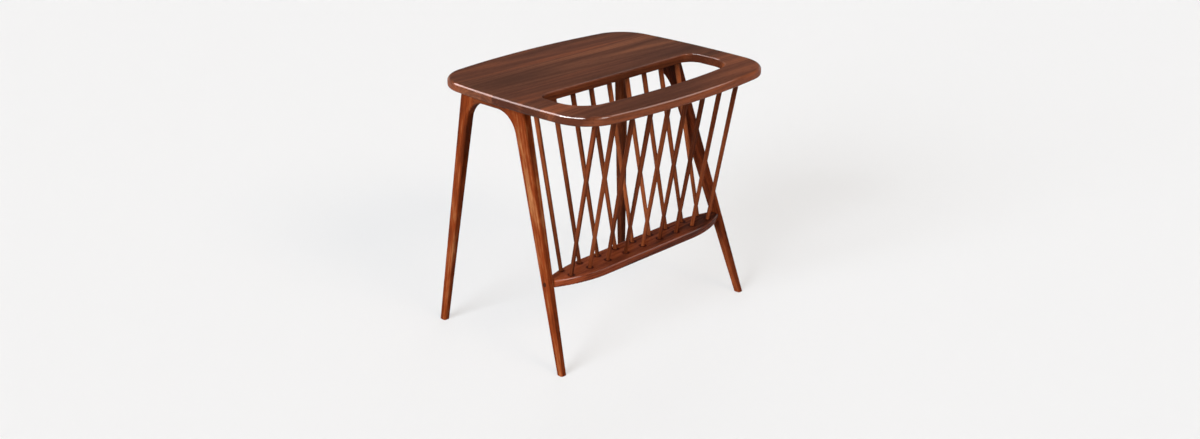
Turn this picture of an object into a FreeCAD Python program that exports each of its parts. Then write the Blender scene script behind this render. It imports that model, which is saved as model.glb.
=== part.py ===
"""Walnut magazine table: a slotted top on two arched end frames, with a V-shaped spindle rack below the slot.

Frame: millimetres, +Z up, origin on the floor under the middle of the tabletop.
X runs along the tabletop's long side, and the rack is on the -Y side, which is the front.
"""
import FreeCAD, Part
import math
import os
import Sketcher

doc = FreeCAD.newDocument("magazine_table")

# Driving sizes in millimetres
SIZES = (
    # Tabletop: a rectangle whose four sides bow outward
    ("overall_height", 527.05),
    ("top_length", 571.5),
    ("top_depth", 457.2),
    ("top_thickness", 19.0),
    ("end_bow", 11.6),
    ("side_bow", 24.4),
    ("corner_radius", 84.0),
    ("upper_edge_radius", 8.0),
    ("lower_edge_radius", 5.0),
    # Magazine slot near the front of the tabletop, with a rim in front of it and one at each end
    ("end_rim", 59.75),
    ("slot_back_reach", 31.0),
    ("rim_width", 68.0),
    ("slot_back_corner", 28.0),
    ("slot_front_corner", 60.0),
    ("slot_edge_radius", 4.0),
    ("slot_lower_radius", 2.5),
    # Glue lines between the tabletop's boards: two behind the middle, one in front of it
    ("back_seam", 130.0),
    ("middle_seam", 30.0),
    ("front_seam", 96.0),
    # End frames seen from the front: place under the top, splay and thickness
    ("end_overhang", 51.25),
    ("leg_splay", 50.5),
    ("foot_thickness", 14.6),
    ("head_thickness", 22.0),
    # End frames seen from the side: rake and width
    ("front_foot_reach", 162.7),
    ("front_foot_width", 15.0),
    ("front_head_setback", 2.1),
    ("front_head_width", 35.3),
    ("back_foot_reach", 199.8),
    ("back_foot_width", 16.0),
    ("back_head_reach", 174.2),
    ("back_head_width", 25.7),
    ("rail_depth", 28.0),
    ("front_arch_radius", 60.0),
    ("back_arch_radius", 41.0),
    ("front_joint_reach", 7.6),
    ("back_joint_reach", 10.5),
    ("arris_radius", 4.5),
    # Dowels across the joints between legs and rail, one near the top of the rail and one near its underside
    ("dowel_diameter", 6.0),
    ("dowel_length", 30.0),
    ("dowel_drop", 8.0),
    # Rack shelf: straight in the middle, swept in at its ends, measured from the screws in them
    ("shelf_height", 178.0),
    ("shelf_thickness", 16.0),
    ("shelf_front_reach", 40.3),
    ("shelf_back_reach", 29.7),
    ("shelf_straight", 260.0),
    ("shelf_front_sweep", 29.0),
    ("shelf_back_sweep", 20.0),
    ("shelf_upper_radius", 6.0),
    ("shelf_lower_radius", 3.0),
    # Spindles of the rack: feet set in from the shelf's edges, heads set back from the slot's edges
    ("row_end_inset", 16.0),
    ("front_foot_inset", 25.0),
    ("front_head_inset", 8.8),
    ("rear_foot_inset", 17.0),
    ("rear_head_inset", 24.0),
    ("spindle_head_diameter", 10.5),
    ("spindle_foot_diameter", 8.0),
    ("head_seat", 12.0),
    ("foot_seat", 11.0),
    ("seat_clearance", 0.15),
    ("seat_gap", 0.5),
    # Screws and the plugs over them
    ("plug_diameter", 9.0),
    ("plug_length", 5.0),
    ("screw_diameter", 4.5),
    ("screw_head_diameter", 8.0),
    ("screw_head_height", 3.0),
    ("screw_point", 4.0),
    ("shelf_screw_length", 40.0),
    ("rail_screw_length", 31.0),
    ("rail_screw_bite", 11.0),
    ("bore_clearance", 0.2),
    # How far cutting tools run past the wood
    ("overcut", 20.0),
)
SPINDLES_EACH_SIDE = 4


def leg_line(foot, head, height):
    """Expression for a leg's straight edge at a height, from its place on the floor and under the top."""
    return f"(({foot}) + (({head}) - ({foot})) * ({height}) / (Sizes.overall_height - Sizes.top_thickness))"


OUTER_FACE = ("foot_half_spread", "head_half_spread")
INNER_FACE = ("foot_inner", "head_inner")
FRONT_LEG_FRONT = ("-Sizes.front_foot_reach", "Sizes.front_head_setback")
FRONT_LEG_BACK = (
    "-Sizes.front_foot_reach + Sizes.front_foot_width",
    "Sizes.front_head_setback + Sizes.front_head_width",
)
BACK_LEG_BACK = ("Sizes.back_foot_reach", "Sizes.back_head_reach")
BACK_LEG_FRONT = (
    "Sizes.back_foot_reach - Sizes.back_foot_width",
    "Sizes.back_head_reach - Sizes.back_head_width",
)
UNDERSIDE = "(Sizes.overall_height - Sizes.top_thickness)"
RAIL_UNDERSIDE = f"({UNDERSIDE} - Sizes.rail_depth)"
RAIL_MIDDLE = f"({UNDERSIDE} - Sizes.rail_depth / 2)"
SHELF_UNDERSIDE = "(Sizes.shelf_height - Sizes.shelf_thickness)"
SHELF_MIDDLE = "(Sizes.shelf_height - Sizes.shelf_thickness / 2)"

# Sizes worked out from the driving ones
DERIVED = (
    ("underside", UNDERSIDE),
    ("rail_underside", RAIL_UNDERSIDE),
    # Sharp corners and arc radii of the tabletop's outline, before its corners are rounded
    ("corner_x", "Sizes.top_length / 2 - Sizes.end_bow"),
    ("corner_y", "Sizes.top_depth / 2 - Sizes.side_bow"),
    ("side_radius", "(corner_x ^ 2 + Sizes.side_bow ^ 2) / (2 * Sizes.side_bow)"),
    ("end_radius", "(corner_y ^ 2 + Sizes.end_bow ^ 2) / (2 * Sizes.end_bow)"),
    # The slot's front edge runs parallel to the tabletop's front edge
    ("slot_radius", "side_radius - Sizes.rim_width"),
    ("slot_length", "Sizes.top_length - 2 * Sizes.end_rim"),
    ("slot_end", "slot_length / 2"),
    ("slot_front", "Sizes.top_depth / 2 - Sizes.rim_width"),
    ("slot_front_end", "slot_front - slot_radius + sqrt(slot_radius ^ 2 - slot_end ^ 2)"),
    # The slot's corners share the length of its end walls
    ("slot_end_wall", "slot_front_end - Sizes.slot_back_reach"),
    ("slot_back_round", "min(Sizes.slot_back_corner; slot_end_wall / 3)"),
    ("slot_front_round", "min(Sizes.slot_front_corner; slot_end_wall * 2 / 3)"),
    # End frames seen from the front
    ("head_half_spread", "Sizes.top_length / 2 - Sizes.end_overhang"),
    ("foot_half_spread", "head_half_spread + Sizes.leg_splay"),
    ("head_inner", "head_half_spread - Sizes.head_thickness"),
    ("foot_inner", "foot_half_spread - Sizes.foot_thickness"),
    ("saw_reach", "foot_half_spread + Sizes.overcut"),
    # Crooks of the arch, where the legs' inner edges meet the rail's underside
    ("front_crook", leg_line(*FRONT_LEG_BACK, RAIL_UNDERSIDE)),
    ("back_crook", leg_line(*BACK_LEG_FRONT, RAIL_UNDERSIDE)),
    # Joints between the legs and the rail, a little way past the legs' heads
    ("front_joint", f"{FRONT_LEG_BACK[1]} + Sizes.front_joint_reach"),
    ("back_joint", f"{BACK_LEG_FRONT[1]} - Sizes.back_joint_reach"),
    ("dowel_spacing", "Sizes.rail_depth - 2 * Sizes.dowel_drop"),
    # Middle of the rail's thickness and length, and its screws between the ends of the dowels
    ("rail_x", f"({leg_line(*OUTER_FACE, RAIL_MIDDLE)} + {leg_line(*INNER_FACE, RAIL_MIDDLE)}) / 2"),
    ("rail_y", "(front_joint + back_joint) / 2"),
    ("rail_screw_spacing", "(back_joint - front_joint - Sizes.dowel_length) / 2"),
    ("rail_screw_recess", "Sizes.rail_depth + Sizes.rail_screw_bite - Sizes.rail_screw_length"),
    # The shelf ends on the inner faces of the front legs
    ("shelf_underside", SHELF_UNDERSIDE),
    ("shelf_end", leg_line(*INNER_FACE, SHELF_UNDERSIDE)),
    ("shelf_end_upper", leg_line(*INNER_FACE, "Sizes.shelf_height")),
    ("shelf_run", "shelf_end - Sizes.shelf_straight / 2"),
    ("shelf_front_radius", "(shelf_run ^ 2 + Sizes.shelf_front_sweep ^ 2) / (2 * Sizes.shelf_front_sweep)"),
    ("shelf_back_radius", "(shelf_run ^ 2 + Sizes.shelf_back_sweep ^ 2) / (2 * Sizes.shelf_back_sweep)"),
    # Shelf screws run through the middle of the front legs at the shelf's height
    ("shelf_screw_x", leg_line(*OUTER_FACE, SHELF_MIDDLE)),
    (
        "shelf_screw_y",
        f"({leg_line(*FRONT_LEG_FRONT, SHELF_MIDDLE)} + {leg_line(*FRONT_LEG_BACK, SHELF_MIDDLE)}) / 2",
    ),
    ("shelf_screw_z", SHELF_MIDDLE),
    ("shelf_front", "shelf_screw_y - Sizes.shelf_front_reach"),
    ("shelf_back", "shelf_screw_y + Sizes.shelf_back_reach"),
    # Spindles between the shelf and the underside of the top, spread along the slot
    ("spindle_pitch", f"(slot_end - Sizes.row_end_inset) / {SPINDLES_EACH_SIDE}"),
    ("front_row_foot", "shelf_front + Sizes.front_foot_inset"),
    ("front_row_head", "-slot_front - Sizes.front_head_inset"),
    ("rear_row_foot", "shelf_back - Sizes.rear_foot_inset"),
    ("rear_row_head", "Sizes.rear_head_inset - Sizes.slot_back_reach"),
    ("rack_rise", "underside - Sizes.shelf_height"),
    ("front_lean", "atan((front_row_foot - front_row_head) / rack_rise)"),
    ("rear_lean", "atan((rear_row_foot - rear_row_head) / rack_rise)"),
)


def fill_sheet(name, rows):
    """A spreadsheet with one alias a row."""
    made = doc.addObject("Spreadsheet::Sheet", name)
    for row, (alias, content) in enumerate(rows, start=1):
        made.set(f"A{row}", alias)
        made.set(f"B{row}", content)
        made.setAlias(f"B{row}", alias)
    doc.recompute()
    return made


sizes = fill_sheet("Sizes", [(alias, str(number)) for alias, number in SIZES])
derived = fill_sheet("Derived", [(alias, f"={formula}") for alias, formula in DERIVED])


def value(expression):
    """Number that an expression gives now."""
    number = sizes.evalExpression(expression)
    return float(getattr(number, "Value", number))


def bind(thing, **expressions):
    """Tie an object's properties to the sheets."""
    for name, expression in expressions.items():
        thing.setExpression(name, expression)


def place(thing, x="0", y="0", z="0", axis=None, angle="0"):
    """Tie an object's position, and its turn about an axis, to the sheets."""
    if axis is not None:
        thing.Placement.Rotation = FreeCAD.Rotation(axis, value(angle))
        thing.setExpression("Placement.Rotation.Angle", angle)
    for name, expression in (("x", x), ("y", y), ("z", z)):
        thing.setExpression(f"Placement.Base.{name}", expression)


def new_body(label):
    body = doc.addObject("PartDesign::Body", label)
    body.Label = label
    return body


def new_sketch(body, name, role, offset="0"):
    """A sketch on one of the body's own planes, `offset` along the plane's normal."""
    sketch = body.newObject("Sketcher::SketchObject", name)
    plane = next(feature for feature in body.Origin.OriginFeatures if feature.Role == role)
    sketch.AttachmentSupport = [(plane, "")]
    sketch.MapMode = "FlatFace"
    sketch.setExpression("AttachmentOffset.Base.z", offset)
    return sketch


def add_loop(sketch, corners, radii=None):
    """Closed loop through corners given as pairs of expressions, counter-clockwise.

    `radii` gives, by the number of a side's first corner, the radius of a side that bows outward.
    """
    radii = radii or {}
    first = sketch.GeometryCount
    count = len(corners)
    points = [FreeCAD.Vector(value(across), value(up), 0) for across, up in corners]
    for number, start in enumerate(points):
        end = points[(number + 1) % count]
        if number not in radii:
            sketch.addGeometry(Part.LineSegment(start, end))
            continue
        radius = value(radii[number])
        chord = end - start
        left = FreeCAD.Vector(-chord.y, chord.x, 0).normalize()
        centre = (start + end) * 0.5 + left * math.sqrt(radius**2 - (chord.Length / 2) ** 2)
        circle = Part.Circle(centre, FreeCAD.Vector(0, 0, 1), radius)
        turns = [math.atan2(point.y - centre.y, point.x - centre.x) for point in (start, end)]
        sketch.addGeometry(Part.ArcOfCircle(circle, *turns))
    for number, (across, up) in enumerate(corners):
        side = first + number
        following = first + (number + 1) % count
        sketch.addConstraint(Sketcher.Constraint("Coincident", side, 2, following, 1))
        for kind, expression in (("DistanceX", across), ("DistanceY", up)):
            made = sketch.addConstraint(Sketcher.Constraint(kind, -1, 1, side, 1, value(expression)))
            sketch.setExpression(f"Constraints[{made}]", expression)
        if number in radii:
            radius = radii[number]
            made = sketch.addConstraint(Sketcher.Constraint("Radius", side, value(radius)))
            sketch.setExpression(f"Constraints[{made}]", radius)


def add_circle(sketch, across, up, diameter):
    """A circle whose centre and diameter are expressions."""
    centre = FreeCAD.Vector(value(across), value(up), 0)
    ring = sketch.addGeometry(Part.Circle(centre, FreeCAD.Vector(0, 0, 1), value(diameter) / 2))
    for kind, expression in (("DistanceX", across), ("DistanceY", up)):
        made = sketch.addConstraint(Sketcher.Constraint(kind, -1, 1, ring, 3, value(expression)))
        sketch.setExpression(f"Constraints[{made}]", expression)
    made = sketch.addConstraint(Sketcher.Constraint("Diameter", ring, value(diameter)))
    sketch.setExpression(f"Constraints[{made}]", diameter)


def pad(body, sketch, length, symmetric=False):
    made = body.newObject("PartDesign::Pad", f"{sketch.Name}_pad")
    made.Profile = sketch
    made.SideType = "Symmetric" if symmetric else "One side"
    bind(made, Length=length)
    return made


def cut_through(body, sketch):
    """Cut a sketch right through the body, both ways."""
    made = body.newObject("PartDesign::Pocket", f"{sketch.Name}_cut")
    made.Profile = sketch
    made.SideType = "Symmetric"
    made.Type = "ThroughAll"
    return made


def turn(body, sketch):
    """Revolve a half profile about the sketch's upright axis."""
    made = body.newObject("PartDesign::Revolution", f"{sketch.Name}_turned")
    made.Profile = sketch
    made.ReferenceAxis = (sketch, ["V_Axis"])
    made.Angle = 360
    return made


def round_edges(body, name, radius, test):
    """Fillet the edges of the body's last feature that pass a test."""
    doc.recompute()
    base = body.Tip
    chosen = [f"Edge{number}" for number, edge in enumerate(base.Shape.Edges, start=1) if test(edge)]
    made = body.newObject("PartDesign::Fillet", name)
    made.Base = (base, chosen)
    bind(made, Radius=radius)
    return made


# How near two places count as one, in millimetres
TOUCHING = 1e-3


def middle(edge):
    return edge.valueAt((edge.FirstParameter + edge.LastParameter) / 2)


def runs_along(edge, direction):
    """Whether an edge is straight and parallel to a direction of length one."""
    return isinstance(edge.Curve, Part.Line) and edge.Curve.Direction.cross(direction).Length < TOUCHING


def near(first, second):
    return abs(first - second) < TOUCHING


ACROSS = FreeCAD.Vector(1, 0, 0)
UPRIGHT = FreeCAD.Vector(0, 0, 1)


def rod(name, diameter, length, **where):
    """A plain cylinder, used as a dowel or as a drill."""
    made = doc.addObject("Part::Cylinder", name)
    bind(made, Radius=f"({diameter}) / 2", Height=length)
    place(made, **where)
    return made


def gather(label, things):
    made = doc.addObject("Part::Compound", label)
    made.Label = label
    made.Links = things
    return made


def combine(kind, label, base, tool):
    made = doc.addObject(f"Part::{kind}", label)
    made.Label = label
    made.Base = base
    made.Tool = tool
    return made


def mirrored(label, source):
    """The same piece on the other side of the table's middle plane."""
    made = doc.addObject("Part::Mirroring", label)
    made.Label = label
    made.Source = source
    made.Normal = ACROSS
    return made


# Every finished piece, by the name of its node
pieces = []

# Spindles: plain turned rods, thick at the head and thin at the foot, in two leaning rows
SPINDLE_ROWS = (
    ("front", "Derived.front_row_foot", "Derived.front_lean"),
    ("rear", "Derived.rear_row_foot", "Derived.rear_lean"),
)
spindle_drills = {"head": [], "foot": []}


def make_spindle(row, number, foot_y, lean):
    """One spindle with its two drills, standing in the shelf and leaning to its seat in the top."""
    label = f"{row}_spindle_{number + SPINDLES_EACH_SIDE + 1}"
    free_length = f"(Derived.rack_rise / cos({lean}))"
    whole_length = f"({free_length} + Sizes.foot_seat + Sizes.head_seat)"
    along_x = f"{number} * Derived.spindle_pitch"

    def seat(distance):
        """Where a point on the axis lies, at a distance below the shelf's upper face."""
        return {
            "x": along_x,
            "y": f"{foot_y} + ({distance}) * sin({lean})",
            "z": f"Sizes.shelf_height - ({distance}) * cos({lean})",
            "axis": ACROSS,
            "angle": lean,
        }

    body = new_body(label)
    profile = new_sketch(body, f"{label}_profile", "XZ_Plane")
    foot_radius = "Sizes.spindle_foot_diameter / 2"
    head_radius = "Sizes.spindle_head_diameter / 2"
    add_loop(
        profile,
        (
            ("0", "0"),
            (foot_radius, "0"),
            (foot_radius, "Sizes.foot_seat"),
            (head_radius, f"{whole_length} - Sizes.head_seat"),
            (head_radius, whole_length),
            ("0", whole_length),
        ),
    )
    turn(body, profile)
    place(body, **seat("Sizes.foot_seat"))
    pieces.append(body)

    gap = "Sizes.seat_gap"
    hole_extra = "2 * Sizes.seat_clearance"
    foot_drill = rod(
        f"{label}_foot_drill",
        f"Sizes.spindle_foot_diameter + {hole_extra}",
        f"Sizes.foot_seat + {gap} + Sizes.overcut",
        **seat(f"Sizes.foot_seat + {gap}"),
    )
    head_drill = rod(
        f"{label}_head_drill",
        f"Sizes.spindle_head_diameter + {hole_extra}",
        f"Sizes.head_seat + {gap} + Sizes.overcut",
        **seat(f"Sizes.overcut - {free_length}"),
    )
    spindle_drills["foot"].append(foot_drill)
    spindle_drills["head"].append(head_drill)


for row, foot_y, lean in SPINDLE_ROWS:
    for number in range(-SPINDLES_EACH_SIDE, SPINDLES_EACH_SIDE + 1):
        make_spindle(row, number, foot_y, lean)


# Screws: a flat head, a plain shank and a point, made along +Z from the head
def make_screw(label, length):
    body = new_body(label)
    profile = new_sketch(body, f"{label}_profile", "XZ_Plane")
    shank_radius = "Sizes.screw_diameter / 2"
    head_radius = "Sizes.screw_head_diameter / 2"
    whole_length = f"Sizes.screw_head_height + {length}"
    add_loop(
        profile,
        (
            ("0", "0"),
            (head_radius, "0"),
            (head_radius, "Sizes.screw_head_height"),
            (shank_radius, "Sizes.screw_head_height"),
            (shank_radius, f"{whole_length} - Sizes.screw_point"),
            ("0", whole_length),
        ),
    )
    turn(body, profile)
    return body


SCREW_BORE = "Sizes.screw_diameter + 2 * Sizes.bore_clearance"
HEAD_BORE = "Sizes.screw_head_diameter + 2 * Sizes.bore_clearance"
ALONG_X = {"axis": FreeCAD.Vector(0, 1, 0), "angle": "90"}

# Shelf screws: in from the outer face of each front leg, under a plug, into the end of the shelf
shelf_screw = make_screw("left_shelf_screw", "Sizes.shelf_screw_length")
shelf_screw_line = {"y": "Derived.shelf_screw_y", "z": "Derived.shelf_screw_z", **ALONG_X}
place(shelf_screw, x="-Derived.shelf_screw_x + Sizes.plug_length", **shelf_screw_line)
shelf_screw_drill = rod(
    "shelf_screw_drill",
    SCREW_BORE,
    "Sizes.plug_length + Sizes.screw_head_height + Sizes.shelf_screw_length + Sizes.seat_gap",
    x="-Derived.shelf_screw_x",
    **shelf_screw_line,
)
plug_drill = rod(
    "plug_drill",
    "Sizes.plug_diameter + 2 * Sizes.seat_clearance",
    "Sizes.overcut + Sizes.plug_length + Sizes.screw_head_height",
    x="-Derived.shelf_screw_x - Sizes.overcut",
    **shelf_screw_line,
)
right_shelf_screw = mirrored("right_shelf_screw", shelf_screw)
pieces += [shelf_screw, right_shelf_screw]


# End frames: an arched side profile, sawn to its splay and taper, rounded, then parted at the joints
def saw_loop(faces):
    """Loop in the front view that takes away all wood outside or inside one face of the left frame."""
    low, high, reach = faces
    return (
        (f"-({low})", "0"),
        (reach, "0"),
        (reach, "Derived.underside"),
        (f"-({high})", "Derived.underside"),
    )


def saw_to_splay(body, name, *sides):
    saw = new_sketch(body, name, "XZ_Plane")
    for side in sides:
        loop = saw_loop(side)
        add_loop(saw, loop)
    cut_through(body, saw)


OUTSIDE = ("Derived.foot_half_spread", "Derived.head_half_spread", "-Derived.saw_reach - Sizes.overcut")
INSIDE = ("Derived.foot_inner", "Derived.head_inner", "Derived.saw_reach + Sizes.overcut")

frame = new_body("left_frame_blank")
side_view = new_sketch(frame, "frame_side_view", "YZ_Plane")
add_loop(
    side_view,
    (
        (FRONT_LEG_FRONT[0], "0"),
        (FRONT_LEG_BACK[0], "0"),
        ("Derived.front_crook", "Derived.rail_underside"),
        ("Derived.back_crook", "Derived.rail_underside"),
        (BACK_LEG_FRONT[0], "0"),
        (BACK_LEG_BACK[0], "0"),
        (BACK_LEG_BACK[1], "Derived.underside"),
        (FRONT_LEG_FRONT[1], "Derived.underside"),
    ),
)
pad(frame, side_view, "2 * Derived.saw_reach", symmetric=True)


def at_crook(crook):
    def test(edge):
        point = middle(edge)
        return runs_along(edge, ACROSS) and near(point.y, value(crook)) and near(
            point.z, value("Derived.rail_underside")
        )
    return test


round_edges(frame, "front_arch", "Sizes.front_arch_radius", at_crook("Derived.front_crook"))
round_edges(frame, "back_arch", "Sizes.back_arch_radius", at_crook("Derived.back_crook"))
saw_to_splay(frame, "frame_saw", OUTSIDE, INSIDE)


def is_arris(edge):
    """Edges between the frame's faces, but not those of its feet or of its level head."""
    heights = [vertex.Z for vertex in edge.Vertexes]
    level = all(near(height, 0) for height in heights) or all(
        near(height, value("Derived.underside")) for height in heights
    )
    return not level and not runs_along(edge, ACROSS)


def crosses_the_frame(edge):
    """Edges that only part the arch's curved faces from its flat ones."""
    points = [vertex.Point for vertex in edge.Vertexes]
    return near(points[0].y, points[1].y) and not near(points[0].x, points[1].x)


round_edges(
    frame,
    "frame_arrises",
    "Sizes.arris_radius",
    lambda edge: is_arris(edge) and not crosses_the_frame(edge),
)


def slab(name, front, back):
    """A block across the whole table between two depths, to part a frame or the top."""
    block = doc.addObject("Part::Box", name)
    bind(
        block,
        Length="4 * Derived.saw_reach",
        Width=f"({back}) - ({front})",
        Height="Sizes.overall_height + 2 * Sizes.overcut",
    )
    place(block, x="-2 * Derived.saw_reach", y=front, z="-Sizes.overcut")
    return block


def dowel_row(name, diameter, length):
    """Two rods, one above the other, across each of the frame's two joints."""
    rods = []
    for joint in ("front_joint", "back_joint"):
        for step in range(2):
            rods.append(
                rod(
                    f"{name}_{joint}_{step}",
                    diameter,
                    length,
                    x="-Derived.rail_x",
                    y=f"Derived.{joint} + ({length}) / 2",
                    z=f"Derived.underside - Sizes.dowel_drop - {step} * Derived.dowel_spacing",
                    axis=ACROSS,
                    angle="90",
                )
            )
    return rods


dowels = gather("left_frame_dowels", dowel_row("dowel", "Sizes.dowel_diameter", "Sizes.dowel_length"))
dowel_drills = dowel_row(
    "dowel_drill",
    "Sizes.dowel_diameter + 2 * Sizes.seat_clearance",
    "(Sizes.dowel_length + 2 * Sizes.seat_gap)",
)

# Rail screws: up through each rail, heads sunk in its underside, into the top
rail_screws = []
rail_drills = []
top_drills = []
for name, way in (("front", "-"), ("back", "+")):
    spot_y = f"Derived.rail_y {way} Derived.rail_screw_spacing / 2"
    screw = make_screw(f"{name}_rail_screw", "Sizes.rail_screw_length")
    head_z = "Derived.rail_underside + Derived.rail_screw_recess - Sizes.screw_head_height"
    place(screw, x="-Derived.rail_x", y=spot_y, z=head_z)
    rail_screws.append(screw)
    bore_length = "Sizes.screw_head_height + Sizes.rail_screw_length + Sizes.seat_gap"
    for side, x in (("left", "-Derived.rail_x"), ("right", "Derived.rail_x")):
        bore = rod(f"{side}_{name}_rail_bore", SCREW_BORE, bore_length, x=x, y=spot_y, z=head_z)
        top_drills.append(bore)
        if side == "left":
            rail_drills.append(bore)
    recess = rod(
        f"{name}_rail_recess",
        HEAD_BORE,
        "Sizes.overcut + Derived.rail_screw_recess",
        x="-Derived.rail_x",
        y=spot_y,
        z="Derived.rail_underside - Sizes.overcut",
    )
    rail_drills.append(recess)
left_rail_screws = gather("left_rail_screws", rail_screws)

FRAME_PARTS = (
    ("front_leg", "-Sizes.top_depth", "Derived.front_joint", [shelf_screw_drill, plug_drill]),
    ("rail", "Derived.front_joint", "Derived.back_joint", rail_drills),
    ("back_leg", "Derived.back_joint", "Sizes.top_depth", []),
)
for name, front, back, drills in FRAME_PARTS:
    blank = combine("Common", f"{name}_blank", frame, slab(f"{name}_slab", front, back))
    bores = gather(f"{name}_bores", dowel_drills + drills)
    piece = combine("Cut", f"left_{name}", blank, bores)
    pieces += [piece, mirrored(f"right_{name}", piece)]
pieces += [dowels, mirrored("right_frame_dowels", dowels)]
pieces += [left_rail_screws, mirrored("right_rail_screws", left_rail_screws)]

# Plugs over the shelf screws, dressed flush with the legs' outer faces
plug = new_body("left_plug")
plug_end = new_sketch(plug, "plug_end", "YZ_Plane", "-Derived.shelf_screw_x - Sizes.overcut")
add_circle(plug_end, "Derived.shelf_screw_y", "Derived.shelf_screw_z", "Sizes.plug_diameter")
pad(plug, plug_end, "Sizes.overcut + Sizes.plug_length")
saw_to_splay(plug, "plug_saw", OUTSIDE)
pieces += [plug, mirrored("right_plug", plug)]

# Rack shelf: one board, narrowed towards its ends, which are sawn to fit the legs' inner faces
shelf = new_body("shelf_blank")
plan = new_sketch(shelf, "shelf_plan", "XY_Plane", "Derived.shelf_underside")
HALF_STRAIGHT = "Sizes.shelf_straight / 2"
FRONT_TIP = "Derived.shelf_front + Sizes.shelf_front_sweep"
BACK_TIP = "Derived.shelf_back - Sizes.shelf_back_sweep"
add_loop(
    plan,
    (
        ("-Derived.shelf_end", FRONT_TIP),
        (f"-{HALF_STRAIGHT}", "Derived.shelf_front"),
        (HALF_STRAIGHT, "Derived.shelf_front"),
        ("Derived.shelf_end", FRONT_TIP),
        ("Derived.shelf_end", BACK_TIP),
        (HALF_STRAIGHT, "Derived.shelf_back"),
        (f"-{HALF_STRAIGHT}", "Derived.shelf_back"),
        ("-Derived.shelf_end", BACK_TIP),
    ),
    {
        0: "Derived.shelf_front_radius",
        2: "Derived.shelf_front_radius",
        4: "Derived.shelf_back_radius",
        6: "Derived.shelf_back_radius",
    },
)
pad(shelf, plan, "Sizes.shelf_thickness")


def at_height(edge, height):
    return all(near(vertex.Z, value(height)) for vertex in edge.Vertexes) and near(
        middle(edge).z, value(height)
    )


def long_edges(height):
    """The long edges of the shelf's upper or lower face, without its two ends."""
    return lambda edge: at_height(edge, height) and not runs_along(edge, FreeCAD.Vector(0, 1, 0))


round_edges(shelf, "shelf_upper_edges", "Sizes.shelf_upper_radius", long_edges("Sizes.shelf_height"))
round_edges(shelf, "shelf_lower_edges", "Sizes.shelf_lower_radius", long_edges("Derived.shelf_underside"))
end_saw = new_sketch(shelf, "shelf_end_saw", "XZ_Plane")
for way in ("-", ""):
    corners = [
        (f"{way}Derived.shelf_end", "Derived.shelf_underside"),
        (f"{way}(Derived.shelf_end + Sizes.overcut)", "Derived.shelf_underside"),
        (f"{way}(Derived.shelf_end + Sizes.overcut)", "Sizes.shelf_height"),
        (f"{way}Derived.shelf_end_upper", "Sizes.shelf_height"),
    ]
    add_loop(end_saw, corners)
cut_through(shelf, end_saw)
right_shelf_drill = mirrored("right_shelf_screw_drill", shelf_screw_drill)
shelf_bores = gather("shelf_bores", spindle_drills["foot"] + [shelf_screw_drill, right_shelf_drill])
pieces.append(combine("Cut", "rack_shelf", shelf, shelf_bores))

# Tabletop: boards glued edge to edge, sawn to the bowed outline, slotted and rounded as one
top = new_body("top_blank")
top_plan = new_sketch(top, "top_plan", "XY_Plane", "Derived.underside")
add_loop(
    top_plan,
    (
        ("-Derived.corner_x", "-Derived.corner_y"),
        ("Derived.corner_x", "-Derived.corner_y"),
        ("Derived.corner_x", "Derived.corner_y"),
        ("-Derived.corner_x", "Derived.corner_y"),
    ),
    {0: "Derived.side_radius", 1: "Derived.end_radius", 2: "Derived.side_radius", 3: "Derived.end_radius"},
)
pad(top, top_plan, "Sizes.top_thickness")
round_edges(top, "top_corners", "Sizes.corner_radius", lambda edge: runs_along(edge, UPRIGHT))
round_edges(
    top, "upper_edge", "Sizes.upper_edge_radius", lambda edge: at_height(edge, "Sizes.overall_height")
)
round_edges(
    top, "lower_edge", "Sizes.lower_edge_radius", lambda edge: at_height(edge, "Derived.underside")
)
slot_plan = new_sketch(top, "slot_plan", "XY_Plane", "Derived.underside")
add_loop(
    slot_plan,
    (
        ("-Derived.slot_end", "-Derived.slot_front_end"),
        ("Derived.slot_end", "-Derived.slot_front_end"),
        ("Derived.slot_end", "-Sizes.slot_back_reach"),
        ("-Derived.slot_end", "-Sizes.slot_back_reach"),
    ),
    {0: "Derived.slot_radius"},
)
cut_through(top, slot_plan)


def slot_corner(depth):
    def test(edge):
        return runs_along(edge, UPRIGHT) and near(middle(edge).y, value(depth))
    return test


round_edges(top, "slot_back_corners", "Derived.slot_back_round", slot_corner("-Sizes.slot_back_reach"))
round_edges(top, "slot_front_corners", "Derived.slot_front_round", slot_corner("-Derived.slot_front_end"))


def in_slot(edge):
    """Edges of the slot's mouth, above or below."""
    point = middle(edge)
    inside = abs(point.x) <= value("Derived.slot_end") + TOUCHING
    behind_rim = -value("Derived.slot_front") - TOUCHING <= point.y
    before_back = point.y <= -value("Sizes.slot_back_reach") + TOUCHING
    return inside and behind_rim and before_back


round_edges(
    top,
    "slot_upper_edge",
    "Sizes.slot_edge_radius",
    lambda edge: at_height(edge, "Sizes.overall_height") and in_slot(edge),
)
round_edges(
    top,
    "slot_lower_edge",
    "Sizes.slot_lower_radius",
    lambda edge: at_height(edge, "Derived.underside") and in_slot(edge),
)
top_bores = gather("top_bores", spindle_drills["head"] + top_drills)
drilled_top = combine("Cut", "drilled_top", top, top_bores)

TOP_BOARDS = (
    ("top_board_back", "Sizes.back_seam", "Sizes.top_depth"),
    ("top_board_middle", "Sizes.middle_seam", "Sizes.back_seam"),
    ("top_board_slot", "-Sizes.front_seam", "Sizes.middle_seam"),
    ("top_board_front", "-Sizes.top_depth", "-Sizes.front_seam"),
)
for name, front, back in TOP_BOARDS:
    pieces.append(combine("Common", name, drilled_top, slab(f"{name}_slab", front, back)))

doc.recompute()

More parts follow.
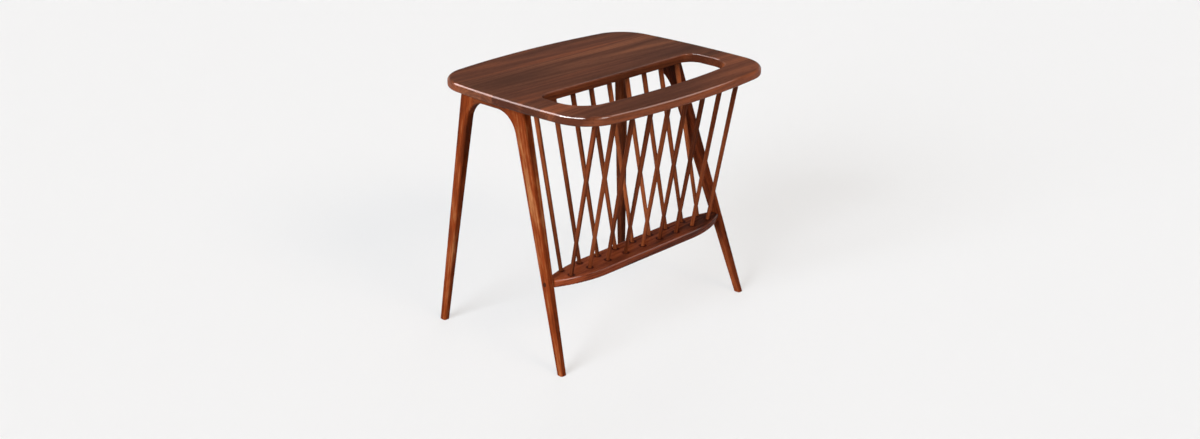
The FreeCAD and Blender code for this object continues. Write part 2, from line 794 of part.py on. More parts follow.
# Every object has to be sound before anything is written
for thing in doc.Objects:
    if "Invalid" in thing.State or "Error" in thing.State:
        raise RuntimeError(f"{thing.Name} failed: {thing.State}")
os.makedirs("parts", exist_ok=True)
for piece in pieces:
    shape = piece.Shape
    if shape.isNull() or not shape.isValid() or not shape.Solids:
        raise RuntimeError(f"{piece.Label} has no sound shape")
    shape.exportStep(f"parts/{piece.Label}.step")
    print(piece.Label, len(shape.Solids), round(shape.Volume))
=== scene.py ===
import math

import bmesh
import bpy
from mathutils import Color, Matrix, Vector


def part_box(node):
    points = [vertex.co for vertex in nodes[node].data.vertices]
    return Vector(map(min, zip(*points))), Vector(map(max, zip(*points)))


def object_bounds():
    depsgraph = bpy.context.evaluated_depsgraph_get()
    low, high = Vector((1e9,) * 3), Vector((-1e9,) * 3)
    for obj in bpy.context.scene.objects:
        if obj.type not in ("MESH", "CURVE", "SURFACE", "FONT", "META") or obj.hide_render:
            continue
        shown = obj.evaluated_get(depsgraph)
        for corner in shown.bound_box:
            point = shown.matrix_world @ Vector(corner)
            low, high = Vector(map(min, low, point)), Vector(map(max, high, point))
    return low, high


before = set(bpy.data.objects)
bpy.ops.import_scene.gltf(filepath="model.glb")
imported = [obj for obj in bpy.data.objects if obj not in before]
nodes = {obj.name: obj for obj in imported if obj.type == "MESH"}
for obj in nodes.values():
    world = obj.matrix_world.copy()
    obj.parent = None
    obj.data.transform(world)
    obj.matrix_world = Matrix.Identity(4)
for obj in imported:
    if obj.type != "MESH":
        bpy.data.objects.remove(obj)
cad_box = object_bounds()

# Front legs
# Sawn from solid walnut with the grain running down the rake of the leg, tapered towards the foot,
# rounded along every arris and rubbed down under a satin lacquer. The outer faces are painted paler, a
# painted sheen, and each leg's figure is painted paler or darker upwards, a painted light and shade.


class Strand:
    """One shader socket, which joins in sums so that a finish reads as arithmetic."""

    def __init__(self, tree, socket=None):
        self.tree = tree
        self.socket = socket

    def node(self, kind, settings=None, inputs=None, output=0):
        """Any node: its settings first, then the values or links of its sockets."""
        made = self.tree.nodes.new(kind)
        for setting, value in (settings or {}).items():
            if setting == "stops":
                ramp = made.color_ramp
                while len(ramp.elements) < len(value):
                    ramp.elements.new(1.0)
                for stop, (where, colour) in zip(ramp.elements, value):
                    stop.position = where
                    stop.color = colour
            else:
                setattr(made, setting, value)
        for socket, value in (inputs or {}).items():
            if isinstance(value, Strand):
                self.tree.links.new(value.socket, made.inputs[socket])
            else:
                made.inputs[socket].default_value = value
        return Strand(self.tree, made.outputs[output] if made.outputs else None)

    def sum_of(self, operation, first, second):
        """One Math node on two values."""
        return self.node("ShaderNodeMath", {"operation": operation}, {0: first, 1: second})

    def __add__(self, other):
        return self.sum_of("ADD", self, other)

    def __radd__(self, other):
        return self.sum_of("ADD", other, self)

    def __sub__(self, other):
        return self.sum_of("SUBTRACT", self, other)

    def __rsub__(self, other):
        return self.sum_of("SUBTRACT", other, self)

    def __mul__(self, other):
        return self.sum_of("MULTIPLY", self, other)

    def __rmul__(self, other):
        return self.sum_of("MULTIPLY", other, self)


def part_of(strand, place, way):
    """One coordinate of a place."""
    return strand.node("ShaderNodeSeparateXYZ", inputs={"Vector": place}, output=way)


def size_of(strand, value):
    """A value without its sign."""
    return strand.node("ShaderNodeMath", {"operation": "ABSOLUTE"}, {0: value})


def share(strand, value, low, high):
    """How far a value has gone from low to high, between 0 and 1."""
    return strand.node(
        "ShaderNodeMapRange", inputs={"Value": value, "From Min": low, "From Max": high}, output="Result"
    )


TONE_STEPS = 255
OPAQUE = 1.0


def tone(red, green, blue):
    """A tone from its red, green and blue as the eye sees them, in steps of 255."""
    seen = Color((red, green, blue)) / TONE_STEPS
    return (*seen.from_srgb_to_scene_linear(), OPAQUE)


def new_finish(name):
    """An empty material and the strand that its nodes hang from."""
    material = bpy.data.materials.new(name)
    material.use_nodes = True
    material.node_tree.nodes.clear()
    return material, Strand(material.node_tree)


# Walnut's clouds: cycles a metre along and across the fibres, and depth of detail
BROAD_BANDS = (1.4, 24.0, 2.0)
STREAKS = (3.5, 120.0, 4.0)
PATCHES = (14.0, 60.0, 3.0)
FIBRES = (14.0, 800.0, 2.0)
PORES = (38.0, 2100.0, 1.0)
CLOUD_ROUGHNESS = 0.6
# Growth rings: cycles a metre along the fibres, the wave scale of one cycle a metre, and their wandering
RINGS_ALONG = 0.1
WAVE_CYCLE = math.pi / 10
RING_WANDER = 5.0
RING_DETAIL = 2.0
RING_DETAIL_SCALE = 0.45
# Shares of the figure, and where its three tones lie in it
BAND_SHARE = 1.1
RING_SHARE = 0.09
FIBRE_SHARE = 0.12
MEAN_CLOUD = 0.5
FIGURE_BASE = 0.16
DARK_AT, MID_AT, LIGHT_AT = 0.30, 0.52, 0.78
# Open pores, which are stained, rough and dull, and the lacquer over the fibres
PORE_BEGINS, PORE_OPEN = 0.60, 0.70
PORE_STAIN = (0.42, 0.36, 0.32, OPAQUE)
PORE_ROUGHNESS = 0.2
PORE_DULLING = 0.5
FIBRE_RELIEF = 0.35
RELIEF_STRENGTH = 0.16
RELIEF_DEPTH = 0.0002
LACQUER_ROUGHNESS = 0.40
STREAK_ROUGHNESS = 0.16
COAT_ROUGHNESS = 0.10
# Grey of the veil painted over the colour, a painted reflection.
PAINTED_VEIL_TONE = tone(150, 142, 134)
# Places of the two colours and of the result on a Mix node
FIRST_COLOUR, SECOND_COLOUR, MIXED_COLOUR = 6, 7, 2


def walnut_on(
    log, material, tones, ring_pitch=0.005, mottle=0.3, stripe=0.28, satin=0.1, drift=0.0, painted_veil=None
):
    """Walnut figure and lacquer, from log coordinates whose X runs along the fibres, in metres.

    Drift makes the figure paler or darker, and some callers use it for painted light and shade. The last
    argument is the share of a thin grey film painted over the colour, a painted reflection on the lacquer.
    """

    def drawn_out(along, across):
        """Log coordinates in cycles a metre, long along the fibres and short across them."""
        pitch = (along, across, across)
        return log.node("ShaderNodeVectorMath", {"operation": "MULTIPLY"}, {0: log, 1: pitch})

    def cloud(along, across, detail):
        """Soft noise between 0 and 1, drawn out along the fibres."""
        return log.node(
            "ShaderNodeTexNoise",
            inputs={
                "Vector": drawn_out(along, across),
                "Scale": 1.0,
                "Detail": detail,
                "Roughness": CLOUD_ROUGHNESS,
            },
        )

    streak = cloud(*STREAKS)
    fibre = cloud(*FIBRES)
    rings = log.node(
        "ShaderNodeTexWave",
        {"wave_type": "RINGS", "rings_direction": "X", "wave_profile": "SIN"},
        {
            "Vector": drawn_out(RINGS_ALONG, 1.0),
            "Scale": WAVE_CYCLE / ring_pitch,
            "Distortion": RING_WANDER,
            "Detail": RING_DETAIL,
            "Detail Scale": RING_DETAIL_SCALE,
        },
        output="Fac",
    )
    figure = BAND_SHARE * cloud(*BROAD_BANDS) + RING_SHARE * rings + FIBRE_SHARE * fibre - FIGURE_BASE
    figure = figure + stripe * (streak - MEAN_CLOUD) + mottle * (cloud(*PATCHES) - MEAN_CLOUD) + drift
    dark, mid, light = tones
    body = log.node(
        "ShaderNodeValToRGB",
        {"stops": [(DARK_AT, dark), (MID_AT, mid), (LIGHT_AT, light)]},
        {"Fac": figure},
        output="Color",
    )
    pores = log.node(
        "ShaderNodeMapRange",
        {"interpolation_type": "SMOOTHSTEP"},
        {"Value": cloud(*PORES), "From Min": PORE_BEGINS, "From Max": PORE_OPEN},
        output="Result",
    )
    colour = log.node(
        "ShaderNodeMix",
        {"data_type": "RGBA", "blend_type": "MULTIPLY"},
        {"Factor": pores, FIRST_COLOUR: body, SECOND_COLOUR: PORE_STAIN},
        output=MIXED_COLOUR,
    )
    # A grey veil painted over the colour, a painted reflection on the lacquer.
    if painted_veil is not None:
        colour = log.node(
            "ShaderNodeMix",
            {"data_type": "RGBA"},
            {"Factor": painted_veil, FIRST_COLOUR: colour, SECOND_COLOUR: PAINTED_VEIL_TONE},
            output=MIXED_COLOUR,
        )
    height = FIBRE_RELIEF * fibre - pores
    relief = log.node(
        "ShaderNodeBump", inputs={"Strength": RELIEF_STRENGTH, "Distance": RELIEF_DEPTH, "Height": height}
    )
    shader = log.node(
        "ShaderNodeBsdfPrincipled",
        inputs={
            "Base Color": colour,
            "Roughness": LACQUER_ROUGHNESS + STREAK_ROUGHNESS * streak + PORE_ROUGHNESS * pores,
            "Specular IOR Level": 0.0,
            "Coat Weight": satin - PORE_DULLING * satin * pores,
            "Coat Roughness": COAT_ROUGHNESS,
            "Normal": relief,
        },
    )
    log.node("ShaderNodeOutputMaterial", inputs={"Surface": shader})
    return material


ALONG_LOG = Vector((1, 0, 0))


def walnut(name, grain, pith, tones, wear_and_painted_light=None, **figure):
    """Lacquered walnut with fibres along `grain`, sawn from a log whose pith passes through `pith`."""
    material, strand = new_finish(name)
    place = strand.node("ShaderNodeTexCoord", output="Object")
    from_pith = strand.node("ShaderNodeVectorMath", {"operation": "SUBTRACT"}, {0: place, 1: pith})
    to_fibres = Vector(grain).rotation_difference(ALONG_LOG).to_euler()
    log = strand.node("ShaderNodeMapping", inputs={"Vector": from_pith, "Rotation": to_fibres})
    worn_and_painted = wear_and_painted_light(strand, place) if wear_and_painted_light else {}
    return walnut_on(log, material, tones, **figure, **worn_and_painted)


def clothe(name, material):
    """Give a solid its finish."""
    nodes[name].data.materials.clear()
    nodes[name].data.materials.append(material)


def wood_name(name):
    """What a piece's own walnut is called."""
    return name.replace("_", " ") + " walnut"


LEG_TONES = (tone(84, 34, 13), tone(116, 49, 19), tone(157, 102, 62))
# The right front leg's browner tones are partly its own wood and partly painted shade.
BROWN_AND_SHADED_LEG_TONES = (tone(68, 27, 10), tone(102, 44, 20), tone(142, 72, 38))
LEG_MOTTLE = 0.8
LEG_STRIPE = 0.14
LEG_SATIN = 0.05
SAME_TONE_HEIGHT = 0.17
OUTER_FACE_FOOT = 0.2850
OUTER_FACE_LEAN = 0.0994
ARRIS = 0.0040
# The outer face of each leg is painted paler, a painted sheen.
OUTER_FACE_PAINTED_SHEEN = 0.10


def leg(name, grain, pith, tones, painted_light_rise):
    """Give a leg its own piece of walnut, whose figure is painted paler upwards by the last argument a
    metre, a painted light and shade.
    """

    def wear_and_painted_light(strand, place):
        """Painted light and shade that changes upwards, and a painted sheen on the outer face."""
        height = part_of(strand, place, "Z")
        depth = OUTER_FACE_FOOT - OUTER_FACE_LEAN * height - size_of(strand, part_of(strand, place, "X"))
        return {"drift": painted_light_rise * (height - SAME_TONE_HEIGHT) + OUTER_FACE_PAINTED_SHEEN * share(strand, depth, ARRIS, 0.0)}

    figure = {"mottle": LEG_MOTTLE, "stripe": LEG_STRIPE, "satin": LEG_SATIN}
    clothe(name, walnut(wood_name(name), grain, pith, tones, wear_and_painted_light, **figure))


FRONT_LEG_RAKE = 0.345
SPLAY = 0.107
# Each leg's figure is painted paler or darker upwards at the rate given last, a painted light and shade.
leg("left_front_leg", (SPLAY, FRONT_LEG_RAKE, 1), (-0.29, -0.02, 0.31), LEG_TONES, painted_light_rise=0.0)
leg("right_front_leg", (-SPLAY, FRONT_LEG_RAKE, 1), (0.27, 0.03, 0.15), BROWN_AND_SHADED_LEG_TONES, painted_light_rise=-0.65)

# Back legs
# The same solid walnut, nearly upright, with the grain running from the foot into the arch. The right
# one is painted darker, a painted shade, and so is the right rail, which shares its tones.
SHADE_DARKENED_LEG_TONES = (tone(54, 22, 9), tone(86, 39, 18), tone(116, 60, 32))
BACK_LEG_RAKE = -0.06
leg("left_back_leg", (SPLAY, BACK_LEG_RAKE, 1), (-0.22, 0.245, 0.4), LEG_TONES, painted_light_rise=-0.60)
leg("right_back_leg", (-SPLAY, BACK_LEG_RAKE, 1), (0.21, 0.12, 0.2), SHADE_DARKENED_LEG_TONES, painted_light_rise=0.9)

# Arched rails
# Short walnut pieces that close the arch between the two legs of each end frame. The grain runs along
# the rail, across that of the legs, and dowels hold the joints. The left rail is painted darker than the
# legs, a painted shade under the top.
SHADE_DARKENED_RAIL_TONES = (tone(60, 24, 10), tone(88, 39, 17), tone(114, 56, 27))
for name, grain, pith, tones in (
    ("left_rail", (0.02, 1, 0.03), (-0.26, 0.1, 0.47), SHADE_DARKENED_RAIL_TONES),
    ("right_rail", (0.02, 1, -0.02), (0.25, 0.1, 0.46), SHADE_DARKENED_LEG_TONES),
):
    clothe(name, walnut(wood_name(name), grain, pith, tones))

# Frame dowels
# Plain beech dowels, two in each joint, glued across the joints between legs and rails and out of
# sight. The wood is bare and flecked.
FLECKS = (900.0, 60.0, 900.0)
FLECK_DETAIL = 3.0
BEECH_TONES = [(0.3, tone(186, 146, 104)), (0.7, tone(214, 180, 138))]
BEECH_ROUGHNESS = 0.6
FLECK_ROUGHNESS = 0.2
FLECK_RELIEF = 0.2
FLECK_DEPTH = 0.0002


def bare_beech():
    """Unfinished beech, with flecks drawn out along the dowels."""
    material, strand = new_finish("beech dowel")
    place = strand.node("ShaderNodeTexCoord", output="Object")
    fine = strand.node("ShaderNodeVectorMath", {"operation": "MULTIPLY"}, {0: place, 1: FLECKS})
    fleck = strand.node("ShaderNodeTexNoise", inputs={"Vector": fine, "Scale": 1.0, "Detail": FLECK_DETAIL})
    colour = strand.node("ShaderNodeValToRGB", {"stops": BEECH_TONES}, {"Fac": fleck}, output="Color")
    relief = strand.node(
        "ShaderNodeBump", inputs={"Strength": FLECK_RELIEF, "Distance": FLECK_DEPTH, "Height": fleck}
    )
    shader = strand.node(
        "ShaderNodeBsdfPrincipled",
        inputs={
            "Base Color": colour,
            "Roughness": BEECH_ROUGHNESS + FLECK_ROUGHNESS * fleck,
            "Normal": relief,
        },
    )
    strand.node("ShaderNodeOutputMaterial", inputs={"Surface": shader})
    return material


beech = bare_beech()
clothe("left_frame_dowels", beech)
clothe("right_frame_dowels", beech)

# Rack shelf
# One boat-shaped walnut board between the front legs, grain along its length, with two rows of holes
# for the spindles. It is painted darker round their feet, a painted shade, its upper arris is burnished,
# and its upper face carries a thin grey veil, a painted reflection.
SHELF_TONES = (tone(60, 24, 10), tone(132, 60, 30), tone(164, 85, 48))
SHELF_MOTTLE = 0.15
# Heights over which the arris turns into the upper face, and the front into the arris
SHELF_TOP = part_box("rack_shelf")[1][2]
SHELF_FACE_FROM = SHELF_TOP - 0.0008
SHELF_FACE_TO = SHELF_TOP - 0.0001
SHELF_ARRIS_FROM = SHELF_TOP - 0.0045
SHELF_ARRIS_TO = SHELF_TOP - 0.0030
SHELF_SATIN = 0.2
SHELF_ARRIS_SATIN = 0.5
# Share of the grey veil painted on the upper face, a painted reflection.
SHELF_PAINTED_VEIL = 0.02
# Where the spindles stand, and the painted shade round their feet
SPINDLE_PITCH = 0.0525
ROWS_MIDDLE = -0.098
HALF_BETWEEN_ROWS = 0.014
FOOT_RADIUS = 0.004
FOOT_SHADE_REACH = 0.0095
FOOT_SHADE_DARK = 0.36


def number_of(strand, across):
    """Which spindle of a row a place is nearest to, counted from the middle one."""
    return strand.node("ShaderNodeMath", {"operation": "ROUND"}, {0: across * (1 / SPINDLE_PITCH)})


def shelf_painted_light_and_wear(strand, place):
    """Painted shade round the feet of the spindles, a burnished arris, and a thin grey veil painted between,
    a painted reflection.
    """
    across = part_of(strand, place, "X")
    height = part_of(strand, place, "Z")
    beside = across - SPINDLE_PITCH * number_of(strand, across)
    before = size_of(strand, part_of(strand, place, "Y") - ROWS_MIDDLE) - HALF_BETWEEN_ROWS
    away = strand.node("ShaderNodeMath", {"operation": "SQRT"}, {0: beside * beside + before * before})
    face = share(strand, height, SHELF_FACE_FROM, SHELF_FACE_TO)
    arris = share(strand, height, SHELF_ARRIS_FROM, SHELF_ARRIS_TO) - face
    foot_shade = face * share(strand, away, FOOT_SHADE_REACH, FOOT_RADIUS)
    return {
        "satin": SHELF_SATIN + (SHELF_ARRIS_SATIN - SHELF_SATIN) * arris,
        "drift": -FOOT_SHADE_DARK * foot_shade,
        "painted_veil": SHELF_PAINTED_VEIL * (face - foot_shade),
    }


SHELF_GRAIN = (1, 0.02, 0.03)
SHELF_PITH = (0.1, -0.13, 0.11)
shelf_wood = walnut(
    wood_name("rack_shelf"), SHELF_GRAIN, SHELF_PITH, SHELF_TONES, shelf_painted_light_and_wear, mottle=SHELF_MOTTLE
)
clothe("rack_shelf", shelf_wood)

# Spindles
# Plain turned walnut rods, thick at the head and thin at the foot, pressed into the shelf below and the
# tabletop above. The front row leans forward and the rear row leans back, so they make a V.
FRONT_ROW_TONES = (tone(74, 32, 14), tone(108, 51, 26), tone(142, 75, 41))
REAR_ROW_TONES = (tone(84, 37, 16), tone(120, 59, 30), tone(156, 85, 48))
FRONT_LEAN = -0.174
REAR_LEAN = 0.233
FRONT_ROW = ROWS_MIDDLE - HALF_BETWEEN_ROWS
REAR_ROW = ROWS_MIDDLE + HALF_BETWEEN_ROWS
SPINDLE_RINGS = 0.004
# How far apart in the log two neighbours of a row were sawn, and the share of that in its height
FRONT_SPREAD = 0.137
REAR_SPREAD = 0.113
UPWARDS_SHARE = 0.61


def spindle_walnut(name, lean, foot_y, spread, tones):
    """Walnut along a leaning row of rods, each rod turned from another part of the log."""
    material, strand = new_finish(name)
    place = strand.node("ShaderNodeTexCoord", output="Object")
    number = number_of(strand, part_of(strand, place, "X"))
    moved = strand.node(
        "ShaderNodeCombineXYZ", inputs={"Y": number * spread, "Z": number * (UPWARDS_SHARE * spread)}
    )
    foot = (0.0, foot_y, 0.0)
    from_row = strand.node("ShaderNodeVectorMath", {"operation": "SUBTRACT"}, {0: place, 1: foot})
    to_fibres = Vector((0, lean, 1)).rotation_difference(ALONG_LOG).to_euler()
    rod = strand.node("ShaderNodeMapping", inputs={"Vector": from_row, "Rotation": to_fibres})
    log = strand.node("ShaderNodeVectorMath", {"operation": "ADD"}, {0: rod, 1: moved})
    return walnut_on(log, material, tones, SPINDLE_RINGS)


front_row = spindle_walnut("front row walnut", FRONT_LEAN, FRONT_ROW, FRONT_SPREAD, FRONT_ROW_TONES)
rear_row = spindle_walnut("rear row walnut", REAR_LEAN, REAR_ROW, REAR_SPREAD, REAR_ROW_TONES)
for name in nodes:
    if name.startswith("front_spindle"):
        clothe(name, front_row)
    elif name.startswith("rear_spindle"):
        clothe(name, rear_row)

# Shelf and rail screws
# Zinc-plated wood screws, driven through the front legs into the shelf and up through the rails into
# the top. Their heads lie below the wood.
SPANGLES = 900.0
SPANGLE_DETAIL = 3.0
ZINC_TONES = [(0.35, tone(170, 170, 166)), (0.65, tone(206, 206, 202))]
ZINC_ROUGHNESS = 0.3
SPANGLE_ROUGHNESS = 0.2


def zinc_plate():
    """Bright zinc with a fine crystal spangle."""
    material, strand = new_finish("zinc plated screw")
    place = strand.node("ShaderNodeTexCoord", output="Object")
    spangle = strand.node(
        "ShaderNodeTexNoise", inputs={"Vector": place, "Scale": SPANGLES, "Detail": SPANGLE_DETAIL}
    )
    colour = strand.node("ShaderNodeValToRGB", {"stops": ZINC_TONES}, {"Fac": spangle}, output="Color")
    shader = strand.node(
        "ShaderNodeBsdfPrincipled",
        inputs={
            "Base Color": colour,
            "Metallic": 1.0,
            "Roughness": ZINC_ROUGHNESS + SPANGLE_ROUGHNESS * spangle,
        },
    )
    strand.node("ShaderNodeOutputMaterial", inputs={"Surface": shader})
    return material


zinc = zinc_plate()
for name in ("left_shelf_screw", "right_shelf_screw", "left_rail_screws", "right_rail_screws"):
    clothe(name, zinc)

# Plugs
# Turned walnut plugs glued over the shelf screws and dressed flush, so their dark end grain shows as a
# dot on the outer face of each front leg.
PLUG_TONES = (tone(36, 14, 8), tone(52, 22, 12), tone(74, 34, 18))
PLUG_RINGS = 0.0016
PLUG_SATIN = 0.12
for name, grain, pith in (
    ("left_plug", (1, 0.05, 0.1), (-0.27, -0.09, 0.18)),
    ("right_plug", (1, -0.05, 0.1), (0.27, -0.1, 0.178)),
):
    end_grain = name.replace("_", " ") + " end grain"
    clothe(name, walnut(end_grain, grain, pith, PLUG_TONES, ring_pitch=PLUG_RINGS, satin=PLUG_SATIN))

# Tabletop boards
# Four walnut boards glued edge to edge, grain along the table's length, then sawn to the bowed outline,
# slotted and rounded over as one slab. Its edges and the slot's walls are painted paler than the flat, a
# painted light, and the edges' upper round is burnished. The front boards' end grain drank more of the
# finish, and the flat carries a grey veil painted over its colour, a painted reflection.
DARK_BOARD = (tone(66, 32, 19), tone(89, 47, 29), tone(124, 64, 37))
LIGHT_BOARD = (tone(74, 38, 22), tone(98, 54, 34), tone(134, 76, 46))
FRONT_BOARD = (tone(78, 39, 23), tone(106, 57, 35), tone(140, 74, 43))
# Each board's name, grain, pith and tones, how much darker its end grain is, and its upper edge's polish
TOP_BOARDS = (
    ("top_board_back", (1, 0.010, 0.022), (0.15, 0.19, 0.44), DARK_BOARD, -0.08, 0.6),
    ("top_board_middle", (1, -0.012, 0.030), (-0.3, 0.07, 0.46), LIGHT_BOARD, -0.14, 0.5),
    ("top_board_slot", (1, 0.008, -0.026), (0.2, -0.03, 0.45), DARK_BOARD, 0.20, 0.5),
    ("top_board_front", (1, -0.006, 0.018), (-0.1, -0.19, 0.47), FRONT_BOARD, 0.26, 0.75),
)
BOARD_RINGS = 0.007
BOARD_MOTTLE = 0.12
BOARD_STRIPE = 0.14
HALF_LENGTH = cad_box[1][0]
HALF_DEPTH = cad_box[1][1]
# Heights over which the edge turns into the flat, the underside into the edge, and the rubbed round begins
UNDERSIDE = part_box("top_board_middle")[0][2]
TOP_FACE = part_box("top_board_middle")[1][2]
FACE_FROM = TOP_FACE - 0.00185
FACE_TO = TOP_FACE - 0.00045
EDGE_FROM = UNDERSIDE + 0.0002
EDGE_TO = UNDERSIDE + 0.0020
HANDLED_FROM = TOP_FACE - 0.00485
HANDLED_TO = TOP_FACE - 0.00305
# How far out the rim begins, as a share of the half sizes, and where the ends show end grain
RIM_FROM = 0.84
RIM_TO = 0.87
END_CORNER = HALF_LENGTH - 0.048
END_STRAIGHT = HALF_LENGTH - 0.016
SLOT_CORNER = 0.206
SLOT_END = 0.224
# Satin of the flat, the rim, the slot's wall and its mouth, then the painted veil, and the painted light on
# the rim and the wall
FLAT_SATIN = 0.07
RIM_SATIN = 0.25
WALL_SATIN = 0.0
MOUTH_SATIN = 0.5
TOP_PAINTED_VEIL = 0.05
RIM_PAINTED_LIGHT = 0.24
WALL_PAINTED_LIGHT = 0.15


def board_wear_and_painted_light(end_dark, polish):
    """Wear and painted light on a board whose end grain is darker by `end_dark` and whose upper edge has
    this polish.
    """

    def wear_and_painted_light(strand, place):
        """Tells the flat, the rim, the slot's wall and the end grain apart by their places."""
        along = size_of(strand, part_of(strand, place, "X"))
        across = size_of(strand, part_of(strand, place, "Y"))
        height = part_of(strand, place, "Z")
        outward = strand.node(
            "ShaderNodeMath",
            {"operation": "MAXIMUM"},
            {0: along * (1 / HALF_LENGTH), 1: across * (1 / HALF_DEPTH)},
        )
        face = share(strand, height, FACE_FROM, FACE_TO)
        edge = share(strand, height, EDGE_FROM, EDGE_TO) - face
        rim = edge * share(strand, outward, RIM_FROM, RIM_TO)
        wall = edge - rim
        handled = share(strand, height, HANDLED_FROM, HANDLED_TO)
        end_grain = rim * share(strand, along, END_CORNER, END_STRAIGHT)
        slot_end_grain = wall * share(strand, along, SLOT_CORNER, SLOT_END)
        rim_satin = (RIM_SATIN - FLAT_SATIN) * rim + (polish - RIM_SATIN) * rim * handled
        wall_satin = (WALL_SATIN - FLAT_SATIN) * wall + (MOUTH_SATIN - WALL_SATIN) * wall * handled
        # The rim and the slot's wall are painted paler, a painted light, while their end grain keeps its own
        # darker tone.
        rim_painted_light_and_end_grain = RIM_PAINTED_LIGHT * rim - (end_dark + RIM_PAINTED_LIGHT) * end_grain
        wall_painted_light_and_end_grain = WALL_PAINTED_LIGHT * wall - (end_dark + WALL_PAINTED_LIGHT) * slot_end_grain
        # The flat carries a grey veil painted over its colour, a painted reflection.
        return {
            "satin": FLAT_SATIN + rim_satin + wall_satin,
            "drift": rim_painted_light_and_end_grain + wall_painted_light_and_end_grain,
            "painted_veil": TOP_PAINTED_VEIL * face,
        }

    return wear_and_painted_light


for name, grain, pith, tones, end_dark, polish in TOP_BOARDS:
    board = walnut(
        wood_name(name),
        grain,
        pith,
        tones,
        board_wear_and_painted_light(end_dark, polish),
        ring_pitch=BOARD_RINGS,
        mottle=BOARD_MOTTLE,
        stripe=BOARD_STRIPE,
    )
    clothe(name, board)

# Studio floor
# A wide pale floor that the table stands on. It is plain, keeps the table's soft shadow, and is clear
# from below.
FLOOR_REACH = 40.0
FLOOR_PALE = (0.365, 0.361, 0.357, OPAQUE)
FLOOR_GLOW = 0.52


def make_floor():
    """One flat square, with a glow that the eye and reflections see and that lights nothing."""
    sheet = bmesh.new()
    bmesh.ops.create_grid(sheet, x_segments=1, y_segments=1, size=FLOOR_REACH)
    mesh = bpy.data.meshes.new("studio_floor")
    sheet.to_mesh(mesh)
    sheet.free()
    floor = bpy.data.objects.new("studio_floor", mesh)
    bpy.context.scene.collection.objects.link(floor)
    material, strand = new_finish("pale floor")
    camera_ray = strand.node("ShaderNodeLightPath", output="Is Camera Ray")
    glossy_ray = strand.node("ShaderNodeLightPath", output="Is Glossy Ray")
    clear_ray = strand.node("ShaderNodeLightPath", output="Is Transmission Ray")
    seen = strand.node("ShaderNodeMath", {"operation": "MAXIMUM"}, {0: camera_ray, 1: glossy_ray})
    seen = strand.node("ShaderNodeMath", {"operation": "MAXIMUM"}, {0: seen, 1: clear_ray})
    shader = strand.node(
        "ShaderNodeBsdfPrincipled",
        inputs={
            "Base Color": FLOOR_PALE,
            "Roughness": 1.0,
            "Specular IOR Level": 0.0,
            "Emission Color": seen,
            "Emission Strength": FLOOR_GLOW,
        },
    )
    from_below = strand.node("ShaderNodeNewGeometry", output="Backfacing")
    clear = strand.node("ShaderNodeBsdfTransparent")
    both = strand.node("ShaderNodeMixShader", inputs={0: from_below, 1: shader, 2: clear})
    strand.node("ShaderNodeOutputMaterial", inputs={"Surface": both})
    mesh.materials.append(material)


make_floor()

# Studio light
# A broad cool key from the left, a weak warm light from the front and a soft fill from behind, in a
# pale room whose walls fade upwards. Five more soft lights above the top only draw its gloss.
COOL = (0.93, 1.0, 1.08)
WARM = (1.0, 0.84, 0.70)
MILD = (1.0, 0.96, 0.92)
ROSY = (1.0, 0.80, 0.77)
WHITE = (1.0, 1.0, 1.0)
ROOM_TINT = (1.0, 0.95, 0.90, OPAQUE)
ROOM_PALE = 0.88
ROOM_DIM = 0.18
COVE_LOW = 0.16
COVE_HIGH = 0.34


def add_sun(name, towards, strength, spread, colour, diffuse=True, gloss=True):
    """A far soft lamp in the direction `towards`, as wide as `spread` in degrees."""
    lamp = bpy.data.lights.new(name, "SUN")
    lamp.energy = strength
    lamp.color = colour
    lamp.angle = math.radians(spread)
    holder = bpy.data.objects.new(name, lamp)
    holder.rotation_mode = "QUATERNION"
    holder.rotation_quaternion = Vector(towards).to_track_quat("Z", "Y")
    holder.visible_diffuse = diffuse
    holder.visible_glossy = gloss
    bpy.context.scene.collection.objects.link(holder)


add_sun("key_left", towards=(-0.93, -0.08, 0.35), strength=4.9, spread=34.0, colour=COOL, gloss=False)
add_sun("front", towards=(0.0, -0.80, 0.60), strength=1.1, spread=24.0, colour=WARM)
add_sun("fill_behind", towards=(0.75, 0.65, 0.12), strength=2.2, spread=50.0, colour=WHITE, gloss=False)
add_sun("end_gloss", towards=(-0.38, 0.70, 0.60), strength=6.0, spread=36.0, colour=ROSY, diffuse=False)
add_sun("bend_gloss", towards=(-0.54, 0.30, 0.79), strength=7.6, spread=26.0, colour=WHITE, diffuse=False)
add_sun("corner_gloss", towards=(-0.47, -0.12, 0.87), strength=5.4, spread=24.0, colour=WHITE, diffuse=False)
add_sun("nose_gloss", towards=(0.22, -0.60, 0.77), strength=0.9, spread=16.0, colour=WHITE, diffuse=False)
add_sun("edge_gloss", towards=(0.66, -0.30, 0.68), strength=0.9, spread=30.0, colour=MILD, diffuse=False)


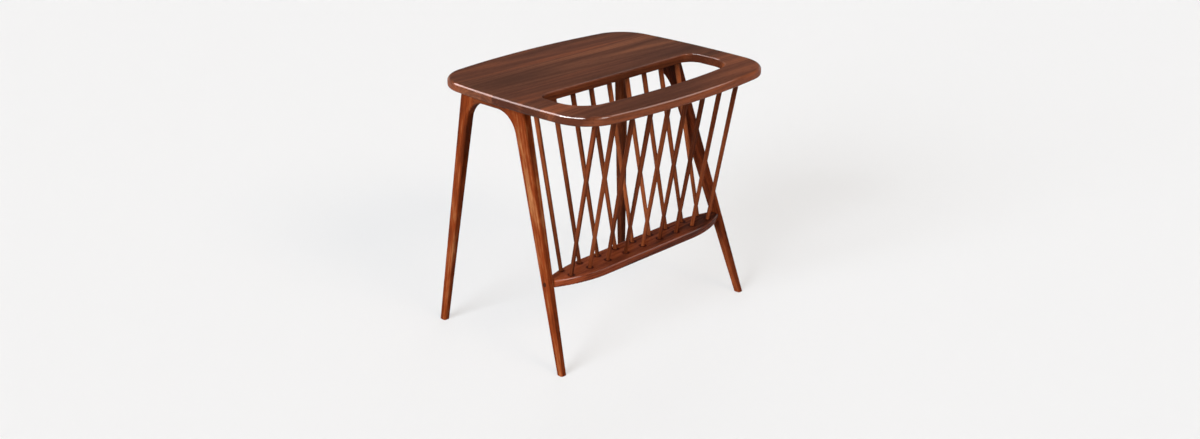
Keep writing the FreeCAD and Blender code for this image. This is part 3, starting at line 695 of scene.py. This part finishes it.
def make_room():
    """The light of the walls all round, pale low down and dim overhead."""
    world = bpy.data.worlds.new("pale room")
    bpy.context.scene.world = world
    world.use_nodes = True
    world.node_tree.nodes.clear()
    strand = Strand(world.node_tree)
    way = strand.node("ShaderNodeTexCoord", output="Generated")
    level = strand.node(
        "ShaderNodeMapRange",
        {"interpolation_type": "SMOOTHSTEP"},
        {
            "Value": part_of(strand, way, "Z"),
            "From Min": COVE_LOW,
            "From Max": COVE_HIGH,
            "To Min": ROOM_PALE,
            "To Max": ROOM_DIM,
        },
        output="Result",
    )
    light = strand.node("ShaderNodeBackground", inputs={"Color": ROOM_TINT, "Strength": level})
    strand.node("ShaderNodeOutputWorld", inputs={"Surface": light})


make_room()

# Camera
# Stands in front of the left end, above the top, and looks down at the table. Its lens, place and turn
# were fitted to the table's stated sizes.
FRAME_WIDTH = 1200
FRAME_HEIGHT = 439
SENSOR = 36.0
FOCAL_PIXELS = 1349.89
CENTRE_ACROSS = 516.33
CENTRE_DOWN = 230.74
STANDPOINT = (-1.94234, -1.77430, 1.26337)
YAW = math.radians(43.636)
PITCH = math.radians(-22.468)
ROLL = math.radians(-0.189)
LEVEL = math.pi / 2
MATRIX_SIDE = 4

lens = bpy.data.cameras.new("camera")
lens.sensor_fit = "HORIZONTAL"
lens.sensor_width = SENSOR
lens.lens = FOCAL_PIXELS / FRAME_WIDTH * SENSOR
lens.shift_x = (FRAME_WIDTH / 2 - CENTRE_ACROSS) / FRAME_WIDTH
lens.shift_y = (CENTRE_DOWN - FRAME_HEIGHT / 2) / FRAME_WIDTH
camera = bpy.data.objects.new("camera", lens)
turn = Matrix.Rotation(-YAW, MATRIX_SIDE, "Z")
tilt = Matrix.Rotation(LEVEL + PITCH, MATRIX_SIDE, "X")
lean = Matrix.Rotation(ROLL, MATRIX_SIDE, "Z")
camera.matrix_world = Matrix.Translation(STANDPOINT) @ turn @ tilt @ lean
bpy.context.scene.collection.objects.link(camera)
bpy.context.scene.camera = camera
bpy.context.scene.view_settings.view_transform = "Standard"
